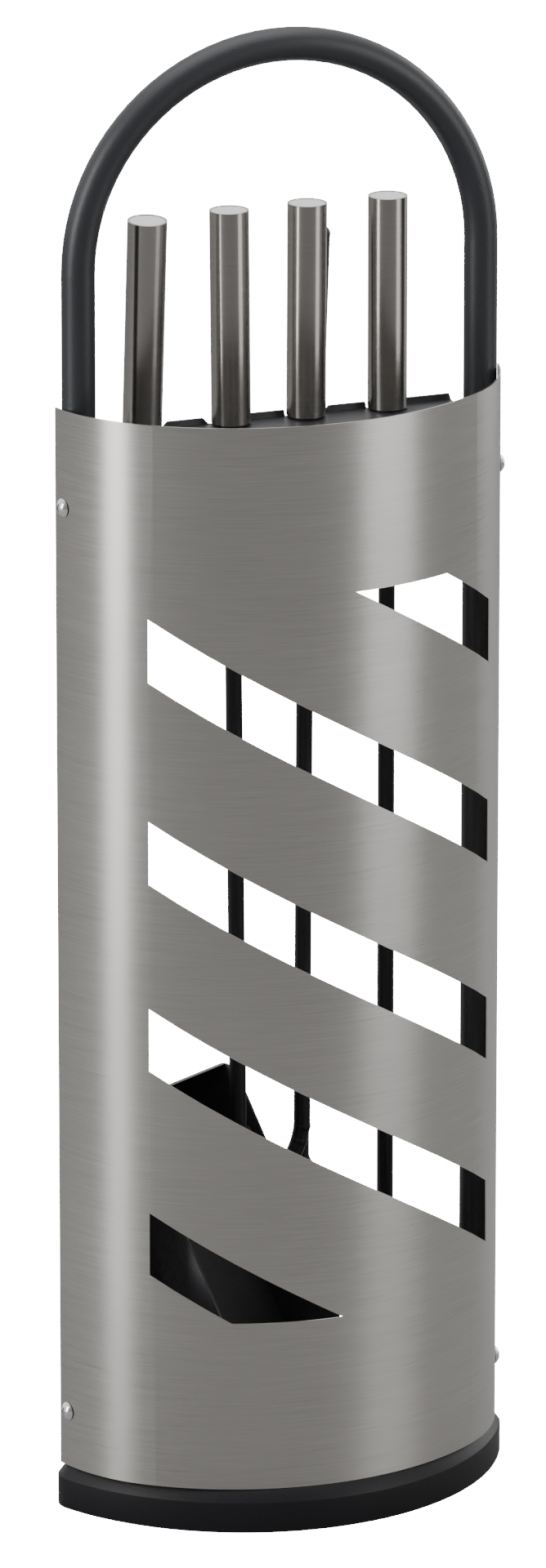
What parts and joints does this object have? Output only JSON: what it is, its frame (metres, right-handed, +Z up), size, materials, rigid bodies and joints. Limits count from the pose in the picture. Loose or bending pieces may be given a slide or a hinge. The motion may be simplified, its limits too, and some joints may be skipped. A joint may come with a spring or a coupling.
{
  "type": "fireside companion set",
  "caption": "Fireside companion set: black hoop stand with a curved slotted steel shield, weighted base and hanging shovel, poker, tongs and brush.",
  "frame": {"origin": "on the floor, midway between the two legs of the hoop", "axes": "+Z up, the shield's front faces -Y, +X to the viewer's right when facing the shield"},
  "size_m": [0.2282, 0.1404, 0.7198],
  "materials": {
    "base_plastic": "matte black moulded plastic",
    "weight_iron": "raw cast",
    "pad_rubber": "matte",
    "frame_black": "satin black powder coat",
    "zinc": "zinc plated",
    "shield_steel": "brushed along the horizontal",
    "screw_chrome": "bright",
    "rest_black": "satin black powder coat",
    "handle_steel": "brushed along the length",
    "cap_steel": "pale satin",
    "bush_black": "matte black",
    "rod_black": "satin black",
    "pan_black": "satin black",
    "pin_steel": "dark",
    "bristle": "black bristle"
  },
  "bodies": {
    "stand": {"base_shell": "base_plastic", "base_weight": "weight_iron", "base_cover": "base_plastic", "base_pads": "pad_rubber", "weight_screws": "zinc", "hoop_frame": "frame_black", "leg_inserts": "zinc", "leg_bolts": "zinc", "leg_washers": "zinc", "shield": "shield_steel", "upper_screws": "screw_chrome", "spacer_washers": "zinc", "upper_nuts": "zinc", "lower_screws": "screw_chrome", "rivet_nuts": "zinc", "tool_rest": "rest_black"},
    "shovel": {"shovel_handle": "handle_steel", "shovel_cap": "cap_steel", "shovel_bush": "bush_black", "shovel_rod": "rod_black", "shovel_pan": "pan_black", "shovel_rivets": "rod_black"},
    "poker": {"poker_handle": "handle_steel", "poker_cap": "cap_steel", "poker_bush": "bush_black", "poker_rod": "rod_black", "poker_hook": "rod_black"},
    "tongs": {"tongs_handle": "handle_steel", "tongs_cap": "cap_steel", "tongs_bush": "bush_black", "tongs_front_arm": "rod_black", "tongs_pivot": "pin_steel"},
    "tongs_lever": {"tongs_lever_arm": "rod_black"},
    "brush": {"brush_handle": "handle_steel", "brush_cap": "cap_steel", "brush_bush": "bush_black", "brush_rod": "rod_black", "brush_ferrule": "rod_black", "brush_bristles": "bristle"}
  },
  "joints": [
    {"name": "shovel_lift", "type": "slide", "parent": "stand", "child": "shovel", "axis": [0, 0.5606, 0.8281], "range_m": [0, 0.012]},
    {"name": "poker_lift", "type": "slide", "parent": "stand", "child": "poker", "axis": [-0.0092, 0.0872, 0.9962], "range_m": [0, 0.2]},
    {"name": "tongs_lift", "type": "slide", "parent": "stand", "child": "tongs", "axis": [0.005, 0.0872, 0.9962], "range_m": [0, 0.2]},
    {"name": "tongs_pivot_turn", "type": "hinge", "parent": "tongs", "child": "tongs_lever", "pos_m": [0.01852, 0.026, 0.4765], "axis": [0, -1, 0], "range_deg": [0, 1.2]},
    {"name": "brush_lift", "type": "slide", "parent": "stand", "child": "brush", "axis": [0, 0.0872, 0.9962], "range_m": [0, 0.2]}
  ]
}
